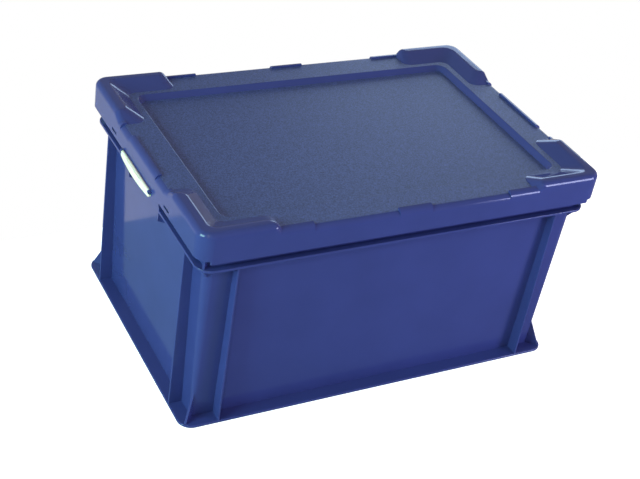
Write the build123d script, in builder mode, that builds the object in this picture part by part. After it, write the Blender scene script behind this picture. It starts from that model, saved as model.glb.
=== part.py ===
"""Insulated specimen transport box on a 600 x 400 mm footprint.

A moulded outer container with a flanged foot and rim, foam slabs and an inner liner,
closed by a lift-off insulated lid with a swinging latch on each short side.
Origin: centre of the foot on the ground. +X along the long side, +Z up. Millimetres.
"""

import os
from math import sqrt

from build123d import *

os.makedirs("parts", exist_ok=True)

# ---- outer container ----
box_length = 600.0
box_width = 400.0
foot_thickness = 4.0
foot_corner_radius = 20.0
flange_edge_radius = 1.2
wall_setback = 20.0
wall_thickness = 3.0
wall_corner_radius = 5.0
wall_draft = 1.4
fin_thickness = 3.0
fin_edge_radius = 1.0
fin_inset = 0.8
long_side_fin_inset = 54.0
short_side_fin_inset = 54.0
gusset_thickness = 3.0
foot_gusset_height = 42.0
rim_gusset_height = 24.0

# ---- rim of the container ----
rim_flange_height = 263.0
rim_flange_thickness = 4.0
rim_corner_radius = 22.0
rim_setback = 10.0
rim_wall_thickness = 3.5
rim_rise = 30.0
rim_top_thickness = 4.0
rim_bead = 3.0
rim_rib_height = 22.0
rib_inset = 1.5
screw_boss_radius = 4.5

# ---- latch keepers on the rim ----
keeper_length = 114.0
keeper_top_rise = 8.0
keeper_skirt_drop = 5.5
keeper_rib_depth = 11.0
keeper_rib_slope = 10.0
catch_lip_length = 90.0
catch_lip_reach = 9.0
catch_lip_thickness = 3.0
catch_lip_drop = 11.7

# ---- insulation and liner ----
foam_thickness = 26.0
base_foam_thickness = 30.0
fit_gap = 0.3
edge_margin = 0.1
liner_thickness = 2.5
liner_corner_radius = 15.0
liner_flange_margin = 2.0
mat_thickness = 3.0
mat_margin = 4.0
pocket_rib_thickness = 3.0
pocket_rib_height = 190.0
pocket_lip = 12.0
floor_radius = 8.0
pack_thickness = 28.0
pack_width = 190.0
pack_height = 180.0
pack_gap = 0.5

# ---- lid ----
lid_overhang = 6.0
lid_wall = 3.0
lid_corner_radius = 20.0
lid_edge_radius = 8.0
skirt_drop = 15.5
skirt_edge_radius = 0.8
skirt_relief_rise = 5.5
skirt_relief_start = 69.0
skirt_relief_reach = 17.0
ledge_rise = 19.0
lid_plate = 3.5
recess_end_border = 48.2
recess_side_border = 47.2
recess_corner_radius = 15.0
recess_depth = 8.0
recess_draft = 35.0
recess_edge_radius = 1.5
nub_rise = 11.0
nub_end_depth = 38.0
nub_end_depth_top = 17.0
nub_side_depth = 39.5
nub_side_depth_top = 14.0
nub_inner_radius = 13.0
nub_end_radius = 10.0
nub_end_radius_base = 14.0
nub_edge_radius = 8.0
nub_long_arm = 113.0
nub_long_arm_top = 103.0
nub_short_arm = 122.0
nub_short_arm_top = 99.0
hollow_end_depth = 23.0
hollow_end_depth_top = 14.0
hollow_side_depth = 26.5
hollow_side_depth_top = 11.0
rib_rise = 3.0
rib_width = 9.0
long_rib_half = 25.0
long_rib_end_run = 43.0
short_rib_half = 50.0
slot_length = 18.0
slot_height = 4.0
slot_spacing = 200.0
slot_rise = 13.0
slot_shift = 6.0

# ---- seal and insulated plug in the lid ----
gasket_width = 8.4
gasket_rib = 2.0
gasket_side_gap = 0.2
gasket_rib_drop = 6.0
gasket_inset = 29.0
seal_gap = 0.3
tray_clearance = 3.0
tray_thickness = 2.2
tray_depth = 33.0
tray_corner_radius = 12.0
tray_flange = 25.0

# ---- screws ----
screw_radius = 1.9
screw_hole_gap = 0.05
screw_length = 12.0
lid_screw_length = 9.0
screw_head_radius = 3.6
screw_head_height = 2.2
screw_drive_radius = 1.2
screw_drive_depth = 1.3
long_side_screw_spacing = 200.0
short_side_screw_spacing = 150.0

# ---- latches ----
latch_width = 108.0
latch_neck_width = 101.0
latch_shift = 12.0
latch_face_gap = 0.6
latch_thickness = 3.2
latch_bow = 2.0
latch_drop = 2.0
latch_sag = 2.0
latch_step_rise = 2.0
latch_top_rise = 7.3
latch_corner_radius = 3.0
latch_edge_radius = 1.0
barrel_radius = 2.2
barrel_crown = 0.7
barrel_face_gap = 0.3
pin_radius = 1.2
pin_gap = 0.05
ear_width = 4.0
ear_side_gap = 0.4
ear_radius = 2.6
catch_width = 64.0
catch_drop = 3.0
catch_thickness = 3.0
catch_gap = 0.3

# ---- worked-out places ----
wall_length = box_length - 2 * wall_setback
wall_width = box_width - 2 * wall_setback
inner_length = wall_length - 2 * wall_thickness
inner_width = wall_width - 2 * wall_thickness
inner_radius = wall_corner_radius - wall_thickness
rim_flange_bottom = rim_flange_height - rim_flange_thickness
rim_height = rim_flange_height + rim_rise
rim_length = box_length - 2 * rim_setback
rim_width = box_width - 2 * rim_setback
rim_radius = rim_corner_radius - rim_setback
rim_top_bottom = rim_height - rim_top_thickness
rim_screw_x = rim_length / 2 - screw_boss_radius
rim_screw_y = rim_width / 2 - screw_boss_radius

foam_length = inner_length - 2 * fit_gap
foam_width = inner_width - 2 * fit_gap
foam_radius = inner_radius - fit_gap
base_foam_top = foot_thickness + base_foam_thickness
foam_top = rim_height - fit_gap
liner_length = foam_length - 2 * (foam_thickness + fit_gap)
liner_width = foam_width - 2 * (foam_thickness + fit_gap)
liner_bottom = base_foam_top + fit_gap
liner_floor = liner_bottom + liner_thickness
liner_inside_length = liner_length - 2 * liner_thickness
liner_inside_width = liner_width - 2 * liner_thickness
liner_top = rim_height + liner_thickness
liner_flange_grow = rim_bead - liner_flange_margin
pocket_depth = pack_thickness + 2 * pack_gap
pocket_half_width = pack_width / 2 + pack_gap
pocket_reach = pocket_depth + pocket_rib_thickness

lid_length = box_length + 2 * lid_overhang
lid_width = box_width + 2 * lid_overhang
skirt_bottom = rim_height - skirt_drop
ledge_height = rim_height + ledge_rise
ledge_underside = ledge_height - lid_plate
recess_length = lid_length - 2 * recess_end_border
recess_width = lid_width - 2 * recess_side_border
recess_floor = ledge_height - recess_depth
recess_underside = recess_floor - lid_plate
nub_height = ledge_height + nub_rise
border_bottom = ledge_height - lid_edge_radius
long_gap_half = lid_length / 2 - nub_long_arm
long_gap_half_top = lid_length / 2 - nub_long_arm_top
short_gap_half = lid_width / 2 - nub_short_arm
short_gap_half_top = lid_width / 2 - nub_short_arm_top
slot_level = skirt_bottom + slot_rise
gasket_length = lid_length - 2 * gasket_inset
gasket_ring_width = lid_width - 2 * gasket_inset
gasket_bottom = liner_top + seal_gap
gasket_groove = gasket_width + 2 * gasket_side_gap
tray_top = recess_underside - fit_gap
tray_bottom = tray_top - tray_depth
screw_seat = tray_top - tray_thickness
screw_hole_radius = screw_radius + screw_hole_gap
tray_length = liner_inside_length - 2 * tray_clearance
tray_width = liner_inside_width - 2 * tray_clearance
lid_screw_x = tray_length / 2 + tray_flange - screw_boss_radius
lid_screw_y = tray_width / 2 + tray_flange - screw_boss_radius

latch_step_height = skirt_bottom + latch_step_rise
latch_top_height = skirt_bottom + latch_top_rise
hinge_height = latch_top_height + barrel_crown - barrel_radius
skirt_face = lid_length / 2
pin_x = skirt_face + barrel_face_gap + barrel_radius
latch_inner_x = skirt_face + latch_face_gap
latch_outer_x = latch_inner_x + latch_thickness
ear_start = latch_neck_width / 2 + ear_side_gap
ear_end = ear_start + ear_width
keeper_bottom = rim_flange_height - keeper_skirt_drop
catch_lip_top = rim_height - catch_lip_drop
catch_tip_x = box_length / 2 + catch_gap


def rounded_prism(length, width, radius, bottom, top, mode=Mode.ADD, taper=0.0):
    """Add or cut an upright block with rounded corners, centred on the box."""
    with BuildSketch(Plane.XY.offset(bottom)) as outline:
        RectangleRounded(length, width, radius)
    extrude(outline.sketch, amount=top - bottom, taper=taper, mode=mode)


def box_between(x_range, y_range, z_range, mode=Mode.ADD):
    """Add or cut a plain block given by its limits along each axis."""
    size = [high - low for low, high in (x_range, y_range, z_range)]
    middle = [(low + high) / 2 for low, high in (x_range, y_range, z_range)]
    with Locations(tuple(middle)):
        Box(*size, mode=mode)


def ordered(first, second):
    """A pair of limits with the lower one first."""
    return (min(first, second), max(first, second))


def upright_rods(places, radius, bottom, top, mode=Mode.ADD):
    """Add or cut a round rod at each place."""
    with BuildSketch(Plane.XY.offset(bottom)) as circles:
        with Locations(*places):
            Circle(radius)
    extrude(circles.sketch, amount=top - bottom, mode=mode)


def corner_plates(points, thickness):
    """Add an upright plate on the diagonal of each corner.

    Each point is its distance outward from the centre of the wall's corner round, and its height.
    """
    centre_x = wall_length / 2 - wall_corner_radius
    centre_y = wall_width / 2 - wall_corner_radius
    for side_x in (-1, 1):
        for side_y in (-1, 1):
            diagonal = Plane(
                origin=(side_x * centre_x, side_y * centre_y, 0),
                x_dir=(side_x, side_y, 0),
                z_dir=(side_y, -side_x, 0),
            )
            with BuildSketch(diagonal) as profile:
                with BuildLine():
                    Polyline(*points, close=True)
                make_face()
            extrude(profile.sketch, amount=thickness / 2, both=True)


def screw_places(half_x, half_y):
    """Three screws along each long side and two along each short side."""
    long_side = [(step * long_side_screw_spacing, side * half_y) for side in (-1, 1) for step in (-1, 0, 1)]
    short_side = [
        (side * half_x, end * short_side_screw_spacing / 2) for side in (-1, 1) for end in (-1, 1)
    ]
    return long_side + short_side


def diagonal_reach(half_x, half_y, radius):
    """How far a rounded corner reaches out from the centre of the wall's corner round."""
    step = half_x - radius - (wall_length / 2 - wall_corner_radius)
    return step * sqrt(2) + radius


rim_screws = screw_places(rim_screw_x, rim_screw_y)
lid_screws = screw_places(lid_screw_x, lid_screw_y)
foot_corner_reach = diagonal_reach(box_length / 2, box_width / 2, foot_corner_radius) - rib_inset
rim_corner_reach = diagonal_reach(box_length / 2, box_width / 2, rim_corner_radius) - rib_inset

# ---- outer container ----
with BuildPart() as container_shell:
    # foot plate and rim flange
    rounded_prism(box_length, box_width, foot_corner_radius, 0, foot_thickness)
    fillet(edges().filter_by(Axis.Z, reverse=True), flange_edge_radius)
    rounded_prism(box_length, box_width, rim_corner_radius, rim_flange_bottom, rim_flange_height)
    fillet(edges(Select.LAST).filter_by(Axis.Z, reverse=True), flange_edge_radius)
    # drafted walls, rim wall and rim bead
    rounded_prism(
        wall_length, wall_width, wall_corner_radius, foot_thickness, rim_flange_height, taper=-wall_draft
    )
    rounded_prism(rim_length, rim_width, rim_radius, rim_flange_height, rim_height)
    rounded_prism(
        rim_length + 2 * rim_bead, rim_width + 2 * rim_bead, rim_radius + rim_bead, rim_top_bottom, rim_height
    )
    # upright fins beside the corners
    for side in (-1, 1):
        fin_x = side * (box_length / 2 - long_side_fin_inset)
        fin_y = side * (box_width / 2 - short_side_fin_inset)
        with BuildSketch(Plane.XY.offset(foot_thickness)) as fins:
            with Locations((fin_x, 0)):
                RectangleRounded(fin_thickness, box_width - 2 * fin_inset, fin_edge_radius)
            with Locations((0, fin_y)):
                RectangleRounded(box_length - 2 * fin_inset, fin_thickness, fin_edge_radius)
        extrude(fins.sketch, amount=rim_flange_bottom - foot_thickness)
    # diagonal gussets at the foot, under the rim and in the rim's channel
    corner_plates(
        [
            (0, foot_thickness),
            (foot_corner_reach, foot_thickness),
            (wall_corner_radius, foot_thickness + foot_gusset_height),
            (0, foot_thickness + foot_gusset_height),
        ],
        gusset_thickness,
    )
    corner_plates(
        [
            (0, rim_flange_bottom),
            (rim_corner_reach, rim_flange_bottom),
            (wall_corner_radius, rim_flange_bottom - rim_gusset_height),
            (0, rim_flange_bottom - rim_gusset_height),
        ],
        gusset_thickness,
    )
    corner_plates(
        [
            (wall_corner_radius, rim_flange_height),
            (rim_corner_reach, rim_flange_height),
            (rim_corner_reach, rim_flange_height + rim_rib_height),
            (wall_corner_radius, rim_flange_height + rim_rib_height),
        ],
        gusset_thickness,
    )
    # keepers, their end ribs and the lips that the latches reach under
    for side in (-1, 1):
        keeper_face = side * (box_length / 2)
        keeper_root = side * (rim_length / 2 - rim_wall_thickness)
        box_between(
            ordered(keeper_root, keeper_face),
            (-keeper_length / 2, keeper_length / 2),
            (keeper_bottom, rim_flange_height + keeper_top_rise),
        )
        for end in (-1, 1):
            rib_middle = end * (keeper_length - fin_thickness) / 2
            with BuildSketch(Plane.XZ.offset(-rib_middle)) as rib:
                with BuildLine():
                    Polyline(
                        (side * inner_length / 2, rim_flange_bottom),
                        (keeper_face, rim_flange_bottom),
                        (keeper_face, keeper_bottom - keeper_rib_depth),
                        (side * inner_length / 2, keeper_bottom - keeper_rib_depth - keeper_rib_slope),
                        close=True,
                    )
                make_face()
            extrude(rib.sketch, amount=fin_thickness / 2, both=True)
        box_between(
            ordered(keeper_root, side * (rim_length / 2 + catch_lip_reach)),
            (-catch_lip_length / 2, catch_lip_length / 2),
            (catch_lip_top - catch_lip_thickness, catch_lip_top),
        )
    # drafted inside, and the hollow behind the rim wall
    rounded_prism(
        inner_length, inner_width, inner_radius, foot_thickness, rim_height, Mode.SUBTRACT, -wall_draft
    )
    rounded_prism(
        rim_length - 2 * rim_wall_thickness,
        rim_width - 2 * rim_wall_thickness,
        rim_radius - rim_wall_thickness,
        rim_flange_height,
        rim_top_bottom,
        Mode.SUBTRACT,
    )
    upright_rods(rim_screws, screw_boss_radius, rim_flange_height, rim_top_bottom)
    upright_rods(rim_screws, screw_hole_radius, liner_top - screw_length - fit_gap, rim_height, Mode.SUBTRACT)
container_shell.part.label = "container_shell"
export_step(container_shell.part, "parts/container_shell.step")

# ---- foam slabs ----
with BuildPart() as foam_base:
    rounded_prism(foam_length, foam_width, foam_radius, foot_thickness, base_foam_top)
foam_base.part.label = "foam_base"
export_step(foam_base.part, "parts/foam_base.step")

for name, side in (("foam_front", -1), ("foam_rear", 1)):
    with BuildPart() as long_slab:
        with BuildSketch(Plane.XY.offset(base_foam_top)):
            RectangleRounded(foam_length, foam_width, foam_radius)
            with Locations((0, side * (foam_width - foam_thickness) / 2)):
                Rectangle(foam_length, foam_thickness, mode=Mode.INTERSECT)
        extrude(amount=foam_top - base_foam_top)
    long_slab.part.label = name
    export_step(long_slab.part, f"parts/{name}.step")

for name, side in (("foam_left", -1), ("foam_right", 1)):
    with BuildPart() as short_slab:
        with BuildSketch(Plane.XY.offset(base_foam_top)):
            with Locations((side * (foam_length - foam_thickness) / 2, 0)):
                Rectangle(foam_thickness, foam_width - 2 * (foam_thickness + fit_gap))
        extrude(amount=foam_top - base_foam_top)
    short_slab.part.label = name
    export_step(short_slab.part, f"parts/{name}.step")

# ---- inner liner ----
with BuildPart() as liner_space:
    rounded_prism(
        liner_inside_length, liner_inside_width, liner_corner_radius - liner_thickness, liner_floor, liner_top
    )
    fillet(edges().group_by(Axis.Z)[0], floor_radius)
    # the ribs and lips of the cool pack pockets stay standing
    for side in (-1, 1):
        wall_x = side * liner_inside_length / 2
        lip_x = side * (liner_inside_length / 2 - pocket_reach)
        lip_back_x = lip_x + side * pocket_rib_thickness
        pocket_z = (liner_floor, liner_floor + pocket_rib_height)
        for end in (-1, 1):
            inside_y = end * pocket_half_width
            outside_y = end * (pocket_half_width + pocket_rib_thickness)
            lip_y = end * (pocket_half_width - pocket_lip)
            box_between(ordered(wall_x, lip_x), ordered(inside_y, outside_y), pocket_z, Mode.SUBTRACT)
            box_between(ordered(lip_x, lip_back_x), ordered(lip_y, outside_y), pocket_z, Mode.SUBTRACT)

with BuildPart() as inner_liner:
    rounded_prism(liner_length, liner_width, liner_corner_radius, liner_bottom, liner_top)
    fillet(edges().group_by(Axis.Z)[0], floor_radius + liner_thickness)
    rounded_prism(
        rim_length + 2 * liner_flange_grow,
        rim_width + 2 * liner_flange_grow,
        rim_radius + liner_flange_grow,
        rim_height,
        liner_top,
    )
    add(liner_space.part, mode=Mode.SUBTRACT)
    upright_rods(rim_screws, screw_hole_radius, rim_height, liner_top, Mode.SUBTRACT)
inner_liner.part.label = "inner_liner"
export_step(inner_liner.part, "parts/inner_liner.step")

with BuildPart() as absorbent_mat:
    rounded_prism(
        liner_inside_length - 2 * (pocket_reach + mat_margin),
        liner_inside_width - 2 * (floor_radius + mat_margin),
        liner_corner_radius - liner_thickness,
        liner_floor,
        liner_floor + mat_thickness,
    )
absorbent_mat.part.label = "absorbent_mat"
export_step(absorbent_mat.part, "parts/absorbent_mat.step")

for name, side in (("cool_pack_left", -1), ("cool_pack_right", 1)):
    with BuildPart() as cool_pack:
        pack_back = side * (liner_inside_length / 2 - pack_gap)
        box_between(
            ordered(pack_back, pack_back - side * pack_thickness),
            (-pack_width / 2, pack_width / 2),
            (liner_floor, liner_floor + pack_height),
        )
        fillet(edges(), floor_radius)
    cool_pack.part.label = name
    export_step(cool_pack.part, f"parts/{name}.step")

# ---- screws that hold the liner to the rim ----
with BuildPart() as liner_screws:
    upright_rods(rim_screws, screw_radius, liner_top - screw_length, liner_top)
    upright_rods(rim_screws, screw_head_radius, liner_top, liner_top + screw_head_height)
    upright_rods(
        rim_screws,
        screw_drive_radius,
        liner_top + screw_head_height - screw_drive_depth,
        liner_top + screw_head_height,
        Mode.SUBTRACT,
    )
liner_screws.part.label = "liner_screws"
export_step(liner_screws.part, "parts/liner_screws.step")


def flat_edges(edge_list, height, length, width):
    """The edges at one height that lie within a rectangle centred on the box."""
    return (
        edge_list.filter_by_position(Axis.Z, height - edge_margin, height + edge_margin)
        .filter_by_position(Axis.X, -length / 2 - edge_margin, length / 2 + edge_margin)
        .filter_by_position(Axis.Y, -width / 2 - edge_margin, width / 2 + edge_margin)
    )


def nub_outline(end_depth, side_depth, long_gap, short_gap, end_radius):
    """An L-shaped outline over one corner of the lid, with rounded arm ends."""
    outside_x = lid_length / 2 + lid_wall
    outside_y = lid_width / 2 + lid_wall
    inside_x = lid_length / 2 - end_depth
    inside_y = lid_width / 2 - side_depth
    with BuildSketch() as outline:
        with BuildLine():
            Polyline(
                (outside_x, outside_y),
                (long_gap, outside_y),
                (long_gap, inside_y),
                (inside_x, inside_y),
                (inside_x, short_gap),
                (outside_x, short_gap),
                close=True,
            )
        make_face()
        inner_corner = outline.vertices().sort_by_distance((inside_x, inside_y))[0]
        fillet(inner_corner, nub_inner_radius)
        long_end = outline.vertices().sort_by_distance((long_gap, inside_y))[0]
        fillet(long_end, end_radius)
        short_end = outline.vertices().sort_by_distance((inside_x, short_gap))[0]
        fillet(short_end, end_radius)
    return outline.sketch


def along_outline(edge_list, inset):
    """The edges that follow the lid's outline, set in by a distance, at the corner on +X and +Y."""
    half_length = lid_length / 2 - inset
    half_width = lid_width / 2 - inset
    corner_radius = lid_corner_radius - inset
    end_edges = edge_list.filter_by_position(Axis.X, half_length - edge_margin, half_length + edge_margin)
    side_edges = edge_list.filter_by_position(Axis.Y, half_width - edge_margin, half_width + edge_margin)
    rounds = edge_list.filter_by(GeomType.CIRCLE)
    corner = rounds.filter_by(lambda edge: abs(edge.radius - corner_radius) < edge_margin)
    return end_edges + side_edges + corner


def corner_nubs(base, crest, shrink):
    """The four stacking nubs, or, shrunk by a wall, the hollows inside them."""
    with BuildPart() as nubs:
        loft([Plane.XY.offset(ledge_height) * base, Plane.XY.offset(nub_height) * crest])
        extrude(Plane.XY.offset(ledge_height) * base, amount=border_bottom - ledge_height)
        with BuildSketch(Plane.XY.offset(border_bottom)) as envelope:
            RectangleRounded(lid_length - 2 * shrink, lid_width - 2 * shrink, lid_corner_radius - shrink)
        extrude(envelope.sketch, amount=nub_rise + lid_edge_radius - shrink, mode=Mode.INTERSECT)
        fillet(along_outline(edges().group_by(Axis.Z)[-1], shrink), lid_edge_radius - shrink)
        if shrink == 0:
            crest_edges = edges().group_by(Axis.Z)[-1]
            fillet(crest_edges - along_outline(crest_edges, lid_edge_radius), nub_edge_radius)
        mirror(about=Plane.XZ)
        mirror(about=Plane.YZ)
    return nubs.part


def low_ribs():
    """The low ribs along the lid's edge, between the nubs."""
    rib_top = ledge_height + rib_rise
    with BuildPart() as ribs:
        rounded_prism(lid_length, lid_width, lid_corner_radius, border_bottom, rib_top)
        fillet(edges().group_by(Axis.Z)[-1], lid_edge_radius)
        rounded_prism(
            lid_length - 2 * rib_width,
            lid_width - 2 * rib_width,
            lid_corner_radius - rib_width,
            border_bottom,
            rib_top,
            Mode.SUBTRACT,
        )
        for side in (-1, 1):
            box_between(
                ordered(side * long_rib_half, side * (long_gap_half - long_rib_end_run)),
                (-lid_width, lid_width),
                (border_bottom, rib_top),
                Mode.SUBTRACT,
            )
            box_between(
                (-lid_length, lid_length),
                ordered(side * short_rib_half, side * short_gap_half),
                (border_bottom, rib_top),
                Mode.SUBTRACT,
            )
    return ribs.part


nub_solids = corner_nubs(
    nub_outline(nub_end_depth, nub_side_depth, long_gap_half, short_gap_half, nub_end_radius_base),
    nub_outline(nub_end_depth_top, nub_side_depth_top, long_gap_half_top, short_gap_half_top, nub_end_radius),
    0,
)
hollow_long_gap = long_gap_half_top + lid_wall
hollow_short_gap = short_gap_half_top + lid_wall
nub_hollows = corner_nubs(
    nub_outline(hollow_end_depth, hollow_side_depth, hollow_long_gap, hollow_short_gap, nub_end_radius),
    nub_outline(hollow_end_depth_top, hollow_side_depth_top, hollow_long_gap, hollow_short_gap, nub_end_radius),
    lid_wall,
)
rib_solids = low_ribs()

with BuildPart() as lid_space:
    rounded_prism(
        lid_length - 2 * lid_wall,
        lid_width - 2 * lid_wall,
        lid_corner_radius - lid_wall,
        skirt_bottom,
        ledge_underside,
    )
    fillet(edges().group_by(Axis.Z)[-1], lid_edge_radius - lid_wall)

# ---- lid ----
with BuildPart() as lid_shell:
    rounded_prism(lid_length, lid_width, lid_corner_radius, skirt_bottom, ledge_height)
    fillet(edges().group_by(Axis.Z)[-1], lid_edge_radius)
    fillet(edges().group_by(Axis.Z)[0], skirt_edge_radius)
    add(nub_solids)
    add(rib_solids)
    add(lid_space.part, mode=Mode.SUBTRACT)
    add(nub_hollows, mode=Mode.SUBTRACT)
    # the skirt stands higher round the corners
    for side in (-1, 1):
        for end in (-1, 1):
            relief_z = (skirt_bottom, skirt_bottom + skirt_relief_rise)
            box_between(
                ordered(side * (lid_length / 2 - skirt_relief_reach), side * (lid_length / 2 + lid_wall)),
                ordered(end * skirt_relief_start, end * (lid_width / 2 + lid_wall)),
                relief_z,
                Mode.SUBTRACT,
            )
    # sunk panel
    rounded_prism(
        recess_length + 2 * lid_plate,
        recess_width + 2 * lid_plate,
        recess_corner_radius + lid_plate,
        recess_underside,
        ledge_underside,
    )
    rounded_prism(
        recess_length,
        recess_width,
        recess_corner_radius,
        ledge_height,
        recess_floor,
        Mode.SUBTRACT,
        recess_draft,
    )
    fillet(flat_edges(edges(), ledge_height, recess_length, recess_width), recess_edge_radius)
    # ribs that hold the gasket
    rib_outside = gasket_groove + 2 * gasket_rib
    rib_steps = (
        (rib_outside, Mode.ADD),
        (gasket_groove, Mode.SUBTRACT),
        (-gasket_groove, Mode.ADD),
        (-rib_outside, Mode.SUBTRACT),
    )
    with BuildSketch(Plane.XY.offset(ledge_underside)) as gasket_ribs:
        for growth, step_mode in rib_steps:
            RectangleRounded(
                gasket_length + growth,
                gasket_ring_width + growth,
                lid_corner_radius + growth / 2,
                mode=step_mode,
            )
    extrude(gasket_ribs.sketch, amount=-gasket_rib_drop)
    upright_rods(lid_screws, screw_boss_radius, tray_top, ledge_underside)
    lid_hole_top = screw_seat + lid_screw_length + fit_gap
    upright_rods(lid_screws, screw_hole_radius, tray_top, lid_hole_top, Mode.SUBTRACT)
    for side in (-1, 1):
        # hinge ears beside the latch, their pin bores, and the two slots
        latch_middle = -side * latch_shift
        slot_middle = -side * slot_shift
        ear_root = skirt_face - lid_wall / 2
        for end in (-1, 1):
            ear_middle = latch_middle + end * (ear_start + ear_end) / 2
            with BuildSketch(Plane.XZ.offset(-ear_middle)) as ear:
                with Locations((side * pin_x, hinge_height)):
                    Circle(ear_radius)
                with Locations((side * (ear_root + pin_x) / 2, hinge_height)):
                    Rectangle(pin_x - ear_root, 2 * ear_radius)
            extrude(ear.sketch, amount=ear_width / 2, both=True)
            slot_end = slot_middle + end * slot_spacing / 2
            box_between(
                ordered(side * (skirt_face - 2 * lid_wall), side * (skirt_face + lid_wall)),
                (slot_end - slot_length / 2, slot_end + slot_length / 2),
                (slot_level - slot_height / 2, slot_level + slot_height / 2),
                Mode.SUBTRACT,
            )
        with BuildSketch(Plane.XZ.offset(-latch_middle)) as pin_bore:
            with Locations((side * pin_x, hinge_height)):
                Circle(pin_radius + pin_gap)
        extrude(pin_bore.sketch, amount=ear_end, both=True, mode=Mode.SUBTRACT)
lid_shell.part.label = "lid_shell"
export_step(lid_shell.part, "parts/lid_shell.step")

# ---- seal, foam core and inner tray of the lid ----
with BuildPart() as lid_gasket:
    rounded_prism(
        gasket_length + gasket_width,
        gasket_ring_width + gasket_width,
        lid_corner_radius + gasket_width / 2,
        gasket_bottom,
        ledge_underside,
    )
    rounded_prism(
        gasket_length - gasket_width,
        gasket_ring_width - gasket_width,
        lid_corner_radius - gasket_width / 2,
        gasket_bottom,
        ledge_underside,
        Mode.SUBTRACT,
    )
lid_gasket.part.label = "lid_gasket"
export_step(lid_gasket.part, "parts/lid_gasket.step")

with BuildPart() as lid_liner:
    rounded_prism(tray_length, tray_width, tray_corner_radius, tray_bottom, tray_top)
    rounded_prism(
        tray_length + 2 * tray_flange,
        tray_width + 2 * tray_flange,
        tray_corner_radius,
        tray_top - tray_thickness,
        tray_top,
    )
    rounded_prism(
        tray_length - 2 * tray_thickness,
        tray_width - 2 * tray_thickness,
        tray_corner_radius - tray_thickness,
        tray_bottom + tray_thickness,
        tray_top,
        Mode.SUBTRACT,
    )
    upright_rods(lid_screws, screw_hole_radius, screw_seat, tray_top, Mode.SUBTRACT)
lid_liner.part.label = "lid_liner"
export_step(lid_liner.part, "parts/lid_liner.step")

with BuildPart() as lid_core:
    rounded_prism(
        tray_length - 2 * (tray_thickness + fit_gap),
        tray_width - 2 * (tray_thickness + fit_gap),
        tray_corner_radius - tray_thickness - fit_gap,
        tray_bottom + tray_thickness,
        tray_top,
    )
lid_core.part.label = "lid_core"
export_step(lid_core.part, "parts/lid_core.step")

with BuildPart() as lid_screw_set:
    upright_rods(lid_screws, screw_radius, screw_seat, screw_seat + lid_screw_length)
    upright_rods(lid_screws, screw_head_radius, screw_seat - screw_head_height, screw_seat)
    upright_rods(
        lid_screws,
        screw_drive_radius,
        screw_seat - screw_head_height,
        screw_seat - screw_head_height + screw_drive_depth,
        Mode.SUBTRACT,
    )
lid_screw_set.part.label = "lid_screws"
export_step(lid_screw_set.part, "parts/lid_screws.step")

# ---- latches and their hinge pins ----
for name, side in (("latch_left", -1), ("latch_right", 1)):
    latch_middle = -side * latch_shift
    middle_section = Plane.XZ.offset(-latch_middle)
    flap_bottom = skirt_bottom - latch_drop
    flap_low = flap_bottom - latch_sag
    bar_low = flap_low - latch_sag
    with BuildPart() as latch:
        # bowed bar
        with BuildSketch(Plane((0, latch_middle, bar_low))) as plan:
            with BuildLine():
                ThreePointArc(
                    (side * latch_outer_x, -latch_width / 2),
                    (side * (latch_outer_x + latch_bow), 0),
                    (side * latch_outer_x, latch_width / 2),
                )
                Line((side * latch_outer_x, latch_width / 2), (side * latch_inner_x, latch_width / 2))
                Line((side * latch_inner_x, latch_width / 2), (side * latch_inner_x, -latch_width / 2))
                Line((side * latch_inner_x, -latch_width / 2), (side * latch_outer_x, -latch_width / 2))
            make_face()
        extrude(plan.sketch, amount=latch_top_height - bar_low, dir=(0, 0, 1))
        # front outline: curved lower edge, stepped ends
        front_plane = Plane((0, latch_middle, 0), x_dir=(0, 1, 0), z_dir=(1, 0, 0))
        with BuildSketch(front_plane) as front:
            with BuildLine():
                ThreePointArc(
                    (-latch_width / 2, flap_bottom),
                    (0, flap_low),
                    (latch_width / 2, flap_bottom),
                )
                Polyline(
                    (latch_width / 2, flap_bottom),
                    (latch_width / 2, latch_step_height),
                    (latch_neck_width / 2, latch_step_height),
                    (latch_neck_width / 2, latch_top_height),
                    (-latch_neck_width / 2, latch_top_height),
                    (-latch_neck_width / 2, latch_step_height),
                    (-latch_width / 2, latch_step_height),
                    (-latch_width / 2, flap_bottom),
                )
            make_face()
            fillet(front.vertices().group_by(Axis.Y)[0], latch_corner_radius)
            fillet(front.vertices().group_by(Axis.Y)[-1], latch_corner_radius)
        extrude(front.sketch, amount=lid_length, both=True, mode=Mode.INTERSECT)
        front_face = faces().sort_by(Axis.X)[-1 if side > 0 else 0]
        fillet(front_face.edges(), latch_edge_radius)
        # catch behind the bar, and the hinge barrel along its top
        box_between(
            ordered(side * catch_tip_x, side * (latch_inner_x + latch_edge_radius)),
            (latch_middle - catch_width / 2, latch_middle + catch_width / 2),
            (skirt_bottom - catch_drop, skirt_bottom - catch_drop + catch_thickness),
        )
        with BuildSketch(middle_section) as barrel:
            with Locations((side * pin_x, hinge_height)):
                Circle(barrel_radius)
        extrude(barrel.sketch, amount=latch_neck_width / 2, both=True)
        with BuildSketch(middle_section) as barrel_bore:
            with Locations((side * pin_x, hinge_height)):
                Circle(pin_radius + pin_gap)
        extrude(barrel_bore.sketch, amount=latch_neck_width / 2, both=True, mode=Mode.SUBTRACT)
    latch.part.label = name
    export_step(latch.part, f"parts/{name}.step")

for name, side in (("latch_pin_left", -1), ("latch_pin_right", 1)):
    with BuildPart() as latch_pin:
        with BuildSketch(Plane.XZ.offset(side * latch_shift)) as pin_section:
            with Locations((side * pin_x, hinge_height)):
                Circle(pin_radius)
        extrude(pin_section.sketch, amount=ear_end, both=True)
    latch_pin.part.label = name
    export_step(latch_pin.part, f"parts/{name}.step")
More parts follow.
